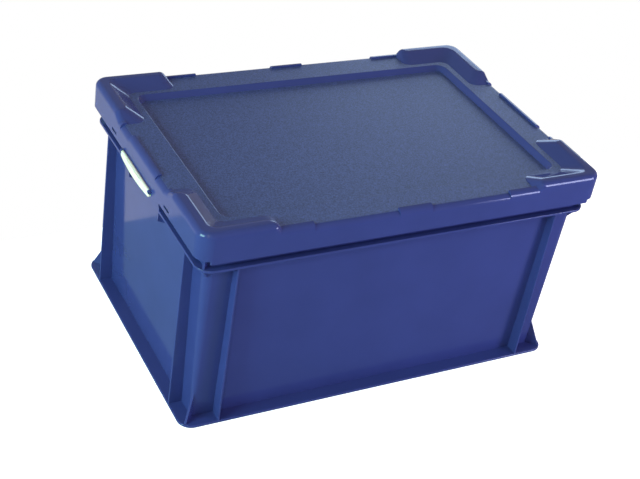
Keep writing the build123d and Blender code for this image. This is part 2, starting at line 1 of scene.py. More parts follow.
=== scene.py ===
"""Studio dressing for the insulated specimen transport box.

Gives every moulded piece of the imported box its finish, models the mat, the cool packs, the
screws and the seal in detail, and sets a white studio round the closed box.
"""

from math import cos, pi, radians, sin

import bmesh
import bpy
from mathutils import Matrix, Vector


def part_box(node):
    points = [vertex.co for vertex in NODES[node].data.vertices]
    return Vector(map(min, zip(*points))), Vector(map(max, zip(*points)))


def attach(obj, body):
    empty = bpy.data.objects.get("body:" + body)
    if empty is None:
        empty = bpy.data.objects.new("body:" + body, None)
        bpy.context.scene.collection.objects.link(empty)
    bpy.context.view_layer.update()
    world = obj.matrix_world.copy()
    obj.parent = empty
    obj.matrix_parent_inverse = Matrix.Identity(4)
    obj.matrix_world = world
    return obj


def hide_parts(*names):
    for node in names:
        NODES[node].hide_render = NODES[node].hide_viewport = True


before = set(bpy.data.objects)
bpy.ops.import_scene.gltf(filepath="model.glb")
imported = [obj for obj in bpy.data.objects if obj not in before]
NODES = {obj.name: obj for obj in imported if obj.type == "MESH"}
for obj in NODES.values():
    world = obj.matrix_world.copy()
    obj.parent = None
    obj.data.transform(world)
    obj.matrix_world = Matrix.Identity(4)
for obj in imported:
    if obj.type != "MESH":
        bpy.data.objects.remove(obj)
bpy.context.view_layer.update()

bl_info = {
    "name": "Specimen transport box",
    "version": (1, 0, 0),
    "blender": (4, 5, 0),
    "location": "View3D > Sidebar > Transport box",
    "description": "Finishes, inner fittings and studio for an insulated specimen transport box",
    "category": "Add Mesh",
}

MM = 0.001
HALF_METRE = 0.5  # a grid this far out each way is one metre wide, ready to scale

# ---- the lid's grained faces ----
GRAIN_TOP = 312.4 * MM  # just above the ledge; what stands higher has no grain and no painted sheen
GRAIN_FADE = 0.2 * MM  # the grain fades out from this far below that height to as far above
LEVEL_FROM, LEVEL_AT = 0.96, 0.995  # upward share of a normal where the grain and its painted sheen start and are full

# ---- the quilted mat ----
CELLS_PER_QUILT = 10  # mesh cells from one sewn line to the next
PILLOW_FULLNESS = 0.35  # a lower power gives a flatter pillow with a tighter groove
HEM_WIDTH = 6 * MM
HEM_ROUNDING = 0.5  # power of the hem's curve; a lower one is squarer
HEM_PINCH = 0.55  # share of the thickness that the hem loses at its edge
HEM_PULL = 1.2 * MM  # how far the hem draws in between the sewn lines

# ---- the cool packs ----
PACK_ROUNDING_STEPS = 4
PACK_PANELS = 4
BROAD_FROM = 0.99  # share of a face's normal along x on the pack's broad faces
CUT_TOLERANCE = 0.001 * MM
PANEL_MARGIN = 5 * MM
PANEL_SLOPE = 2.5 * MM
CAP_SETBACK = 45 * MM  # from the pack's rear end to the cap's axis
CAP_SUNK = 1 * MM  # into the pack's top
CAP_CLEARANCE = 0.01 * MM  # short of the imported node's top
CAP_SIDES = 48
CAP_TAPER = 0.97
WALL_BELOW = 0.5  # upward share of a face's normal on the cap's wall
GRIP_EDGE = 0.25 * MM
GRIP_DEPTH = 0.5 * MM

# ---- the pan-head screws ----
LONG_SIDE_SPACING = 200 * MM
SHORT_SIDE_OFFSET = 75 * MM  # from the middle of a short side
HEAD_RADIUS = 3.6 * MM
HEAD_HEIGHT = 2.2 * MM
HEAD_FLAT_RADIUS = 3.068 * MM
HEAD_DOME = 1.2 * MM  # from the head's flat top down to the end of its dome
HEAD_DOME_STEPS = 4
SHANK_RADIUS = 1.9 * MM
POINT_LENGTH = 1 * MM
POINT_SHARE = 0.6  # radius of the point's end as a share of the shank's
CROSS_CELLS = 6  # along each side of the square that the cross is cut from
CROSS_HALF_SIDE = 2.1 * MM
CROSS_TAPER = 0.55  # size of the cross's floor as a share of its top

# ---- the sponge seal ----
SEAL_ROUNDING_STEPS = 5
SAME_POINT = 0.01 * MM  # points this near to each other are merged
SAME_PLANE = radians(1)
SHARP_CORNER = radians(60)
BOTTOM_BAND = 0.1 * MM  # edges this near to the seal's underside are its lower edges

# ---- the studio, in metres, watts and degrees ----
TABLE_EDGE = 0.284  # the table ends this far behind the box's middle
SHEET_WIDTH, SHEET_DEPTH = 12.0, 6.0
SHEET_DROP = -0.2 * MM
SHADOW_REACH = 0.6  # from here to twice as far out, the table turns plain white to the eye
TABLE_GLOW = 0.72  # the table's own white to the eye, on top of what the lamps give it
TABLE_WHITE, BACKDROP_WHITE = "#F4F4F4", "#E8E8E8"
TABLE_IN_GLOSS, BACKDROP_IN_GLOSS, AIR_IN_GLOSS = "#8890A0", "#D8DADC", "#A6A8AC"
LAMP_AIM = (0, 0, 0.15)
LAMPS = (
    # name, place, width and height, watts, colour, and whether a gloss shows it
    ("key_softbox_left", (-2.4, -0.6, 1.0), (1.2, 1.2), 76, "#BCFFF3", True),
    ("side_softbox_right", (2.4, 0.2, 1.0), (1.2, 1.2), 30, "#FFE1C3", False),
    ("rim_softbox_rear", (1.6, 1.8, 0.9), (1.2, 0.8), 11, "#BCDAFF", True),
    ("fill_softbox_rear", (-0.9, 2.4, 0.7), (1.2, 0.8), 26, "#FFFFFF", False),
    ("fill_card_right", (1.2, -1.2, 0.45), (0.6, 0.6), 19, "#D2D7FF", True),
    ("spark_lamp_high", (-1.1, -1.45, 1.85), (0.06, 0.06), 11, "#FFFFFF", True),
)
CAMERA_PLACE = (-0.8618, -1.3508, 1.2019)
CAMERA_AZIMUTH = -32.204
CAMERA_ELEVATION = 33.96
CAMERA_ROLL = 10.048
SENSOR_WIDTH = 36  # in millimetres

# ---- for the materials ----
WHITE = (1.0, 1.0, 1.0, 1.0)
MIX_A, MIX_B, MIX_RESULT = 6, 7, 2  # a Mix node's sockets when it mixes colours
CLOUD = {"From Min": 0.3, "From Max": 0.7}  # where most of a cloud pattern's change is
SCUFF_GAIN, SCUFF_LOSS = 0.03, 0.06  # roughness that scuffs take away and add
SPECK_SHARE = 0.7  # the specks' width as a share of the grain's
# polypropylene's own constants: its skin is a little less shiny than its index alone gives
WAXY = {"IOR": 1.49, "Specular IOR Level": 0.35}


# ---- small tools ----
def linear(hex_colour):
    """The linear value of an sRGB hex colour."""
    channels = [int(hex_colour[i:i + 2], 16) / 255 for i in (1, 3, 5)]
    return tuple(c / 12.92 if c <= 0.04045 else ((c + 0.055) / 1.055) ** 2.4 for c in channels)


def rgba(colour, share=1.0):
    """A colour with full alpha, all its channels times a share."""
    return (*[min(c * share, 1.0) for c in colour[:3]], 1.0)


def per(millimetres):
    """The scale that makes a pattern's features about that many millimetres wide."""
    return 1 / (millimetres * MM)


def node(tree, kind, links=(), values=(), **settings):
    """Add a shader node: its settings, its sockets' values, and its links.

    A link comes from a socket, or from a node's first output.
    """
    made = tree.nodes.new("ShaderNode" + kind)
    for name, value in settings.items():
        setattr(made, name, value)
    for socket, value in dict(values).items():
        made.inputs[socket].default_value = value
    for socket, source in dict(links).items():
        if isinstance(source, bpy.types.Node):
            source = source.outputs[0]
        tree.links.new(source, made.inputs[socket])
    return made


def new_material(name):
    """A new material, its node tree and the object coordinates in it."""
    material = bpy.data.materials.new(name)
    material.use_nodes = True
    tree = material.node_tree
    tree.nodes.clear()
    return material, tree, node(tree, "TexCoord").outputs["Object"]


def tinted(tree, pattern, first, second):
    """A colour that goes from the first to the second as a cloud pattern rises."""
    share = node(tree, "MapRange", {"Value": pattern}, CLOUD)
    values = {MIX_A: first, MIX_B: second}
    return node(tree, "Mix", {"Factor": share}, values, data_type="RGBA").outputs[MIX_RESULT]


def close(tree, pigment, rough, normal, constants):
    """End a material with its shader; the constants are set on the shader's own sockets."""
    links = {"Base Color": pigment, "Roughness": rough, "Normal": normal}
    shader = node(tree, "BsdfPrincipled", links, constants)
    node(tree, "OutputMaterial", {"Surface": shader})


def coat(tree, pigment, wear, roughness, height, bump, constants):
    """End a material whose gloss follows a wear pattern and whose relief follows a height.

    The roughness is that at the pattern's low and high end, the bump a strength and a depth.
    """
    values = {**CLOUD, "To Min": roughness[0], "To Max": roughness[1]}
    rough = node(tree, "MapRange", {"Value": wear}, values)
    normal = node(tree, "Bump", {"Height": height}, {"Strength": bump[0], "Distance": bump[1]})
    close(tree, pigment, rough, normal, constants)


def dress(names, material):
    """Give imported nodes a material, in every slot they have."""
    for name in names:
        mesh = NODES[name].data
        if not mesh.materials:
            mesh.materials.append(material)
        for index in range(len(mesh.materials)):
            mesh.materials[index] = material


def finished(mesh, name, material, body, replaced, crease=40):
    """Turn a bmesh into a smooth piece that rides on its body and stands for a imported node."""
    bmesh.ops.recalc_face_normals(mesh, faces=mesh.faces)
    piece = linked(mesh, name, material)
    piece.data.shade_smooth()
    piece.data.set_sharp_from_angle(angle=radians(crease))
    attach(piece, body)
    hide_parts(replaced)
    return piece


def linked(mesh, name, material):
    """Turn a bmesh into an object in the scene."""
    data = bpy.data.meshes.new(name)
    mesh.to_mesh(data)
    mesh.free()
    data.materials.append(material)
    made = bpy.data.objects.new(name, data)
    bpy.context.scene.collection.objects.link(made)
    return made


def of_kind(geometry, kind):
    """The vertices, edges or faces among an operator's results."""
    return [item for item in geometry if isinstance(item, kind)]


def each_once(items):
    """The items without repeats, in the order they came."""
    return list(dict.fromkeys(items))


def rounded(mesh, edges, radius, steps):
    """Round edges off to that radius."""
    bmesh.ops.bevel(
        mesh,
        geom=edges,
        offset=radius,
        offset_type="OFFSET",
        affect="EDGES",
        segments=steps,
        profile=0.5,
        material=-1,
    )


# ---- materials ----
def blue_skin(tree, place, colour, gloss):
    """Pigment, roughness and normal of polypropylene from a polished mould, in a deep blue.

    It has a waxy gloss with a faint ripple where the melt cooled unevenly, slightly cloudy
    pigment, and thin scuffed streaks that only show as a change of gloss.
    """
    cloud = node(tree, "TexNoise", {"Vector": place}, {"Scale": per(70), "Detail": 5.0})
    pigment = tinted(tree, cloud, rgba(colour, 0.95), rgba(colour, 1.05))
    streaked = node(tree, "Mapping", {"Vector": place}, {"Scale": (1.0, 1.0, 6.0)})
    scuffs = node(tree, "TexNoise", {"Vector": streaked}, {"Scale": per(24), "Detail": 8.0})
    values = {**CLOUD, "To Min": gloss - SCUFF_GAIN, "To Max": gloss + SCUFF_LOSS}
    rough = node(tree, "MapRange", {"Value": scuffs}, values)
    wave = node(tree, "TexNoise", {"Vector": place}, {"Scale": per(22), "Detail": 1.0})
    ripple = node(tree, "Bump", {"Height": wave}, {"Strength": 0.05, "Distance": 0.5 * MM})
    return pigment, rough, ripple


def polished_blue(name, colour, gloss):
    """The container's injection-moulded polypropylene: waxy and glossy all over."""
    material, tree, place = new_material(name)
    close(tree, *blue_skin(tree, place, colour, gloss), WAXY)
    return material


def spark_grained_blue(name, colour, grained_colour_with_painted_sheen, gloss, grained_gloss, grain):
    """The lid's injection-moulded polypropylene: glossy as the container's, but its ledge and
    its sunk panel have a spark-eroded grain from the mould, which makes them matt. Their
    colour is lighter and greyer there, partly from the grain and partly a painted sheen.
    The grain is drawn coarser than the real one so that it shows."""
    material, tree, place = new_material(name)
    pigment, rough, ripple = blue_skin(tree, place, colour, gloss)
    facing = node(tree, "TexCoord").outputs["Normal"]
    upward = node(tree, "SeparateXYZ", {"Vector": facing}).outputs["Z"]
    height = node(tree, "SeparateXYZ", {"Vector": place}).outputs["Z"]
    # the mask below picks the upward faces at the ledge's height, which get the real grain and also
    # a painted sheen
    values = {"From Min": LEVEL_FROM, "From Max": LEVEL_AT}
    level = node(tree, "MapRange", {"Value": upward}, values)
    values = {"From Min": GRAIN_TOP + GRAIN_FADE, "From Max": GRAIN_TOP - GRAIN_FADE}
    low = node(tree, "MapRange", {"Value": height}, values)
    grained = node(tree, "Math", {0: level, 1: low}, operation="MULTIPLY")
    links = {"Factor": grained, "A": rough}
    matt = node(tree, "Mix", links, {"B": grained_gloss}, data_type="FLOAT")
    values = {"Scale": 1 / (grain * SPECK_SHARE), "Detail": 1.0}
    specks = node(tree, "TexNoise", {"Vector": place}, values)
    # painted sheen: the grained faces take a lighter, greyer blue for the sheen on these upward
    # faces, with the grain's own specks on it
    grain_specks_and_painted_sheen = tinted(tree, specks, rgba(grained_colour_with_painted_sheen, 0.55), rgba(grained_colour_with_painted_sheen, 1.45))
    links = {"Factor": grained, MIX_A: pigment, MIX_B: grain_specks_and_painted_sheen}
    both = node(tree, "Mix", links, data_type="RGBA").outputs[MIX_RESULT]
    grit = node(tree, "TexNoise", {"Vector": place}, {"Scale": 1 / grain, "Detail": 2.0})
    relief = node(tree, "Math", {0: grit, 1: grained}, operation="MULTIPLY")
    links = {"Height": relief, "Normal": ripple}
    rippled_grain = node(tree, "Bump", links, {"Strength": 0.5, "Distance": 0.3 * MM})
    close(tree, both, matt, rippled_grain, WAXY)
    return material


def white_acetal(name, colour):
    """Injection-moulded acetal: an off-white, slippery plastic with a soft gloss, a hint of
    light inside it and very faint flow marks."""
    material, tree, place = new_material(name)
    flow = node(tree, "TexNoise", {"Vector": place}, {"Scale": per(14), "Detail": 4.0})
    coat(
        tree,
        tinted(tree, flow, rgba(colour, 0.97), rgba(colour, 1.02)),
        wear=flow,
        roughness=(0.26, 0.34),
        height=flow,
        bump=(0.06, 0.3 * MM),
        constants={"IOR": 1.48, "Subsurface Weight": 0.15, "Subsurface Scale": 2 * MM},
    )
    return material


def white_polystyrene(name, colour):
    """Vacuum-formed polystyrene sheet: bright white, a fine orange-peel skin and a satin gloss
    that is duller where the sheet stretched."""
    material, tree, place = new_material(name)
    stretch = node(tree, "TexNoise", {"Vector": place}, {"Scale": per(55), "Detail": 3.0})
    coat(
        tree,
        tinted(tree, stretch, rgba(colour, 0.96), rgba(colour, 1.02)),
        wear=stretch,
        roughness=(0.33, 0.5),
        height=node(tree, "TexNoise", {"Vector": place}, {"Scale": per(1.6), "Detail": 2.0}),
        bump=(0.12, 0.15 * MM),
        constants={"IOR": 1.59},
    )
    return material


def bead_foam(name, colour):
    """Moulded expanded polypropylene: pressed beads of about 3 mm, each a little lighter or
    darker, with thin shaded joints between them and a dry, matt skin."""
    material, tree, place = new_material(name)
    bead = {"Scale": per(3)}
    beads = node(tree, "TexVoronoi", {"Vector": place}, bead)
    joints = node(tree, "TexVoronoi", {"Vector": place}, bead, feature="DISTANCE_TO_EDGE")
    seam = node(tree, "MapRange", {"Value": joints}, {"From Max": 0.12})
    tone = node(tree, "SeparateColor", {"Color": beads.outputs["Color"]})
    values = {MIX_A: rgba(colour, 0.93), MIX_B: rgba(colour, 1.03)}
    skin = node(tree, "Mix", {"Factor": tone}, values, data_type="RGBA").outputs[MIX_RESULT]
    links = {"Factor": seam, MIX_B: skin}
    jointed = node(tree, "Mix", links, {MIX_A: rgba(colour, 0.7)}, data_type="RGBA")
    coat(
        tree,
        jointed.outputs[MIX_RESULT],
        wear=tone,
        roughness=(0.7, 0.85),
        height=seam,
        bump=(0.5, 0.4 * MM),
        constants={"IOR": 1.49},
    )
    return material


def needled_fleece(name, colour):
    """Needle-punched viscose fleece: short, tangled fibres that give a soft, dry surface with
    fine criss-cross shading, thin places and a faint sheen at a low angle.
    The fibres are drawn about 0.4 mm wide so that they show."""
    material, tree, place = new_material(name)
    drawn = {"Scale": (1.0, 5.0, 1.0)}
    turned = {**drawn, "Rotation": (0.0, 0.0, radians(70))}
    layers = {}
    for layer, values in enumerate((drawn, turned)):
        way = node(tree, "Mapping", {"Vector": place}, values)
        layers[layer] = node(tree, "TexNoise", {"Vector": way}, {"Scale": per(2), "Detail": 6.0})
    fibres = node(tree, "Math", layers, operation="MAXIMUM")
    thin = node(tree, "TexNoise", {"Vector": place}, {"Scale": per(26), "Detail": 3.0})
    lit = tinted(tree, fibres, rgba(colour, 0.78), rgba(colour, 1.03))
    worn = tinted(tree, thin, (0.88, 0.88, 0.9, 1.0), WHITE)
    links = {"Factor": thin, MIX_A: lit, MIX_B: worn}
    patchy = node(tree, "Mix", links, data_type="RGBA", blend_type="MULTIPLY")
    coat(
        tree,
        patchy.outputs[MIX_RESULT],
        wear=fibres,
        roughness=(0.95, 0.85),
        height=fibres,
        bump=(0.6, 0.5 * MM),
        constants={"Sheen Weight": 0.35, "Sheen Roughness": 0.5},
    )
    return material


def blown_polyethylene(name, colour):
    """Blow-moulded polyethylene: a pale blue, waxy, slightly see-into skin with upright flow
    lines from the hot tube and an uneven satin gloss."""
    material, tree, place = new_material(name)
    drawn = node(tree, "Mapping", {"Vector": place}, {"Scale": (1.0, 1.0, 0.12)})
    lines = node(tree, "TexNoise", {"Vector": drawn}, {"Scale": per(6), "Detail": 4.0})
    coat(
        tree,
        tinted(tree, lines, rgba(colour, 0.92), rgba(colour, 1.05)),
        wear=lines,
        roughness=(0.38, 0.5),
        height=lines,
        bump=(0.15, 0.3 * MM),
        constants={"IOR": 1.51, "Subsurface Weight": 0.2, "Subsurface Scale": 3 * MM},
    )
    return material


def sponge_rubber(name, colour):
    """Extruded sponge rubber: dark grey and matt, with a skin full of tiny closed pores.
    The pores are drawn 0.8 mm wide so that they show."""
    material, tree, place = new_material(name)
    pores = node(tree, "TexVoronoi", {"Vector": place}, {"Scale": per(0.8)})
    dust = node(tree, "TexNoise", {"Vector": place}, {"Scale": per(9), "Detail": 4.0})
    coat(
        tree,
        tinted(tree, dust, rgba(colour, 0.8), rgba(colour, 1.25)),
        wear=dust,
        roughness=(0.8, 0.92),
        height=node(tree, "MapRange", {"Value": pores}, {"From Max": 0.5}),
        bump=(0.4, 0.3 * MM),
        constants={"IOR": 1.52},
    )
    return material


def zinc_plated_steel(name, colour):
    """Turned steel with bright zinc plating: a cool grey metal with fine turning rings, a
    cloudy passivated bloom and a gloss that breaks up with it."""
    material, tree, place = new_material(name)
    bloom = node(tree, "TexNoise", {"Vector": place}, {"Scale": per(2.5), "Detail": 4.0})
    ringed = node(tree, "Mapping", {"Vector": place}, {"Scale": (0.2, 4.0, 0.2)})
    coat(
        tree,
        tinted(tree, bloom, rgba(colour, 0.88), rgba(colour, 1.06)),
        wear=bloom,
        roughness=(0.26, 0.42),
        height=node(tree, "TexNoise", {"Vector": ringed}, {"Scale": per(1.2), "Detail": 3.0}),
        bump=(0.15, 0.05 * MM),
        constants={"Metallic": 1.0},
    )
    return material


# ---- settings that a user would change ----
def colour_setting(name, description, default):
    """A colour with its name and default."""
    return bpy.props.FloatVectorProperty(
        name=name,
        description=description,
        subtype="COLOR",
        size=3,
        min=0,
        max=1,
        default=linear(default),
    )


def length_setting(name, description, default):
    """A length in metres with its name and default."""
    return bpy.props.FloatProperty(
        name=name,
        description=description,
        default=default,
        min=0,
        unit="LENGTH",
    )


def share_setting(name, description, default):
    """A number from 0 to 1 with its name and default."""
    return bpy.props.FloatProperty(
        name=name,
        description=description,
        default=default,
        min=0,
        max=1,
        subtype="FACTOR",
    )


class FinishSettings(bpy.types.PropertyGroup):
    """Colours and glosses"""

    container_blue: colour_setting("Container blue", "Pigment of the outer container", "#353B74")
    lid_blue: colour_setting("Lid blue", "Pigment of the lid", "#353B74")
    # painted sheen: lighter and greyer than the lid blue, partly the grain's own greying and partly
    # the sheen on the upward faces
    grained_blue_with_painted_sheen: colour_setting("Grained blue", "Colour of the lid's grained faces", "#3E4878")
    latch_white: colour_setting("Latch white", "Colour of the two latches", "#EAD8C8")
    liner_white: colour_setting("Liner white", "Colour of the liner and the lid tray", "#E9EAE6")
    foam_cream: colour_setting("Foam cream", "Colour of the insulation", "#E2DFD2")
    fleece_grey: colour_setting("Fleece grey", "Colour of the absorbent mat", "#E4E6E8")
    cool_pack_blue: colour_setting("Cool pack blue", "Colour of the cool packs", "#9FC3DA")
    seal_grey: colour_setting("Seal grey", "Colour of the lid's sponge seal", "#3A3B3E")
    zinc_grey: colour_setting("Zinc grey", "Colour of the screws and latch pins", "#C4C8CE")
    gloss: share_setting("Roughness", "Roughness of the polished blue faces", 0.09)
    grained_gloss: share_setting("Grained roughness", "Roughness of the grained faces", 0.42)
    grain: length_setting("Grain", "Width of the grain on the lid's flat faces", 2.2 * MM)


class FittingSettings(bpy.types.PropertyGroup):
    """Sizes of the mat, the cool packs, the screws and the seal"""

    quilt_pitch: length_setting("Quilt pitch", "Distance between the mat's sewn lines", 30 * MM)
    quilt_groove: length_setting("Quilt groove", "Depth of the mat's sewn lines", 1.3 * MM)
    pack_rounding: length_setting("Cool pack rounding", "Radius of a cool pack's edges", 7 * MM)
    pack_rib_depth: length_setting("Cool pack rib depth", "Depth of a cool pack's panels", 1.8 * MM)
    cap_radius: length_setting("Cap radius", "Radius of a cool pack's filler cap", 9 * MM)
    cap_height: length_setting("Cap height", "Height of a cool pack's filler cap", 8 * MM)
    cross_depth: length_setting("Cross recess depth", "Depth of a screw's cross recess", 1.3 * MM)
    seal_rounding: length_setting("Seal rounding", "Radius of the seal's lower edges", 2.6 * MM)


class StudioSettings(bpy.types.PropertyGroup):
    """The camera and the air"""

    lens: bpy.props.FloatProperty(
        name="Lens",
        description="Focal length of the camera in millimetres",
        default=72.39,
        min=20,
        max=300,
        unit="CAMERA",
    )
    air: share_setting("Air", "Strength of the even light from all round", 0.2)


# ---- operators ----
class BOX_OT_blue_mouldings(bpy.types.Operator):
    """Finish the outer container and the lid in blue polypropylene"""

    bl_idname = "transport_box.blue_mouldings"
    bl_label = "Blue mouldings"

    def execute(self, context):
        look = context.scene.box_finish
        container = polished_blue("polypropylene_container_blue", look.container_blue, look.gloss)
        dress(["container_shell"], container)
        lid = spark_grained_blue(
            "polypropylene_lid_blue",
            look.lid_blue,
            look.grained_blue_with_painted_sheen,
            look.gloss,
            look.grained_gloss,
            look.grain,
        )
        dress(["lid_shell"], lid)
        return {"FINISHED"}


class BOX_OT_white_mouldings(bpy.types.Operator):
    """Finish the latches, the liner and the lid tray"""

    bl_idname = "transport_box.white_mouldings"
    bl_label = "White mouldings"

    def execute(self, context):
        look = context.scene.box_finish
        latches = white_acetal("acetal_white", look.latch_white)
        dress(["latch_left", "latch_right"], latches)
        liners = white_polystyrene("polystyrene_white", look.liner_white)
        dress(["inner_liner", "lid_liner"], liners)
        return {"FINISHED"}


class BOX_OT_insulation(bpy.types.Operator):
    """Finish the foam slabs and the lid core, and the steel latch pins"""

    bl_idname = "transport_box.insulation"
    bl_label = "Insulation and pins"

    def execute(self, context):
        look = context.scene.box_finish
        slabs = ["foam_base", "foam_front", "foam_rear", "foam_left", "foam_right", "lid_core"]
        dress(slabs, bead_foam("expanded_polypropylene_cream", look.foam_cream))
        pins = zinc_plated_steel("zinc_plated_steel_pins", look.zinc_grey)
        dress(["latch_pin_left", "latch_pin_right"], pins)
        return {"FINISHED"}


class BOX_OT_absorbent_mat(bpy.types.Operator):
    """Quilt the absorbent mat that lies on the liner's floor"""

    bl_idname = "transport_box.absorbent_mat"
    bl_label = "Absorbent mat"

    def execute(self, context):
        sizes = context.scene.box_fittings
        material = needled_fleece("viscose_fleece", context.scene.box_finish.fleece_grey)
        mat = finished(
            quilted_mat(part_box("absorbent_mat"), sizes.quilt_pitch, sizes.quilt_groove),
            "absorbent_mat_quilted",
            material,
            "container",
            "absorbent_mat",
            crease=80,
        )
        return {"FINISHED"}


class BOX_OT_cool_packs(bpy.types.Operator):
    """Model the two blow-moulded cool packs with their sunk panels and filler caps"""

    bl_idname = "transport_box.cool_packs"
    bl_label = "Cool packs"

    def execute(self, context):
        look = context.scene.box_finish
        material = blown_polyethylene("polyethylene_pale_blue", look.cool_pack_blue)
        for side in ("left", "right"):
            packed = "cool_pack_" + side
            finished(
                cool_pack(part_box(packed), context.scene.box_fittings),
                packed + "_moulded",
                material,
                "container",
                packed,
                crease=50,
            )
        return {"FINISHED"}


class BOX_OT_screws(bpy.types.Operator):
    """Model the pan-head screws of the liner and of the lid tray"""

    bl_idname = "transport_box.screws"
    bl_label = "Screws"

    def execute(self, context):
        look, sizes = context.scene.box_finish, context.scene.box_fittings
        material = zinc_plated_steel("zinc_plated_steel_screws", look.zinc_grey)
        sets = (("liner_screws", "container", True), ("lid_screws", "lid", False))
        for packed, body, upright in sets:
            finished(
                screw_set(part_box(packed), upright, sizes.cross_depth),
                packed + "_pan_head",
                material,
                body,
                packed,
                crease=35,
            )
        return {"FINISHED"}


class BOX_OT_seal(bpy.types.Operator):
    """Model the rounded sponge seal in the lid"""

    bl_idname = "transport_box.seal"
    bl_label = "Lid seal"

    def execute(self, context):
        look, sizes = context.scene.box_finish, context.scene.box_fittings
        finished(
            sponge_seal("lid_gasket", sizes.seal_rounding),
            "lid_seal_sponge",
            sponge_rubber("neoprene_sponge_grey", look.seal_grey),
            "lid",
            "lid_gasket",
        )
        return {"FINISHED"}


class BOX_OT_studio(bpy.types.Operator):
    """Set the white floor, the air, the lamps and the camera"""

    bl_idname = "transport_box.studio"
    bl_label = "Studio"

    def execute(self, context):
        settings = context.scene.box_studio
        set_table()
        set_backdrop()
        set_air(settings.air)
        for name, place, size, watts, colour, in_gloss in LAMPS:
            lamp(name, place, size, watts, linear(colour), in_gloss)
        set_camera(settings.lens)
        return {"FINISHED"}


# ---- inner pieces ----
def quilted_mat(box, pitch, groove):
    """A thin quilted pad: flat below, a low pillow between its sewn lines, pinched at the hem."""
    low, high = (Vector(corner) for corner in box)
    size = high - low
    middle = (low + high) / 2
    cell = pitch / CELLS_PER_QUILT
    mesh = bmesh.new()
    cells = {"x_segments": round(size.x / cell), "y_segments": round(size.y / cell)}
    bmesh.ops.create_grid(mesh, size=HALF_METRE, **cells)
    bmesh.ops.scale(mesh, vec=(size.x, size.y, 1), verts=mesh.verts)
    raised = bmesh.ops.extrude_face_region(mesh, geom=mesh.faces[:])
    for vertex in of_kind(raised["geom"], bmesh.types.BMVert):
        x, y = vertex.co.x, vertex.co.y
        inside = min(size.x / 2 - abs(x), size.y / 2 - abs(y))
        pillow = abs(sin(pi * x / pitch) * sin(pi * y / pitch)) ** PILLOW_FULLNESS
        edge = min(inside / HEM_WIDTH, 1.0) ** HEM_ROUNDING
        pinch = HEM_PINCH * size.z * (1 - edge)
        vertex.co.z = size.z - groove * (1 - pillow) * edge - pinch
    for vertex in mesh.verts:
        x, y = vertex.co.x, vertex.co.y
        if size.x / 2 - abs(x) < cell / 2:
            vertex.co.x -= HEM_PULL * (1 - abs(cos(pi * y / pitch))) * (1 if x > 0 else -1)
        if size.y / 2 - abs(y) < cell / 2:
            vertex.co.y -= HEM_PULL * (1 - abs(cos(pi * x / pitch))) * (1 if y > 0 else -1)
    bmesh.ops.translate(mesh, vec=(middle.x, middle.y, low.z), verts=mesh.verts)
    return mesh


def cool_pack(box, sizes):
    """A rounded bottle with sunk panels in each broad face and a ribbed cap on top."""
    low, high = (Vector(corner) for corner in box)
    size = high - low
    body_height = size.z - sizes.cap_height
    mesh = bmesh.new()
    bmesh.ops.create_cube(mesh, size=1.0)
    bmesh.ops.scale(mesh, vec=(size.x, size.y, body_height), verts=mesh.verts)
    rounded(mesh, mesh.edges[:], sizes.pack_rounding, PACK_ROUNDING_STEPS)
    broad = [face for face in mesh.faces if abs(face.normal.x) > BROAD_FROM]
    inner = body_height - 2 * sizes.pack_rounding
    for step in range(1, PACK_PANELS):
        cut = {"plane_co": (0, 0, -inner / 2 + inner * step / PACK_PANELS), "plane_no": (0, 0, 1)}
        around = each_once(edge for face in broad for edge in face.edges)
        made = bmesh.ops.bisect_plane(mesh, geom=broad + around, dist=CUT_TOLERANCE, **cut)
        broad = of_kind(made["geom"], bmesh.types.BMFace)
    slope = {"thickness": PANEL_SLOPE, "depth": -sizes.pack_rib_depth}
    bmesh.ops.inset_individual(mesh, faces=broad, thickness=PANEL_MARGIN, depth=0)
    bmesh.ops.inset_individual(mesh, faces=broad, **slope)
    top = low.z + body_height
    middle = Vector(((low.x + high.x) / 2, (low.y + high.y) / 2, low.z + body_height / 2))
    bmesh.ops.translate(mesh, vec=middle, verts=mesh.verts)
    axis = (middle.x, high.y - CAP_SETBACK, top + (sizes.cap_height - CAP_SUNK) / 2)
    filler_cap(mesh, Vector(axis), sizes.cap_radius, sizes.cap_height + CAP_SUNK)
    return mesh


def filler_cap(mesh, middle, radius, height):
    """A slightly tapered cap with upright grips round it."""
    cap = bmesh.ops.create_cone(
        mesh,
        cap_ends=True,
        segments=CAP_SIDES,
        radius1=radius,
        radius2=radius * CAP_TAPER,
        depth=height - 2 * CAP_CLEARANCE,
        matrix=Matrix.Translation(middle),
    )
    faces = each_once(face for vertex in cap["verts"] for face in vertex.link_faces)
    walls = [face for face in faces if abs(face.normal.z) < WALL_BELOW]
    grips = [face for face in walls if side_number(face, middle, CAP_SIDES) % 2 == 0]
    bmesh.ops.inset_individual(mesh, faces=grips, thickness=GRIP_EDGE, depth=-GRIP_DEPTH)


def side_number(face, middle, count):
    """Which of the equal sides round a turned wall this face is."""
    out = face.calc_center_median() - middle
    angle = Vector((out.x, out.y)).angle_signed(Vector((1, 0)))
    return round(angle * count / (2 * pi) - 0.5)


def screw_places(box):
    """Three screws along each long side and two along each short side of a packed set."""
    high = Vector(box[1])
    x, y = high.x - HEAD_RADIUS, high.y - HEAD_RADIUS
    long_sides = [(step * LONG_SIDE_SPACING, side * y) for side in (-1, 1) for step in (-1, 0, 1)]
    short_sides = [(side * x, end * SHORT_SIDE_OFFSET) for side in (-1, 1) for end in (-1, 1)]
    return long_sides + short_sides


def screw_set(box, upright, cross_depth):
    """A set of pan-head screws, with their heads up or down."""
    low, high = (Vector(corner) for corner in box)
    mesh = bmesh.new()
    for x, y in screw_places(box):
        if upright:
            place = Matrix.Translation((x, y, high.z))
        else:
            place = Matrix.Translation((x, y, low.z)) @ Matrix.Rotation(pi, 4, "X")
        pan_head_screw(mesh, place, high.z - low.z, cross_depth)
    return mesh


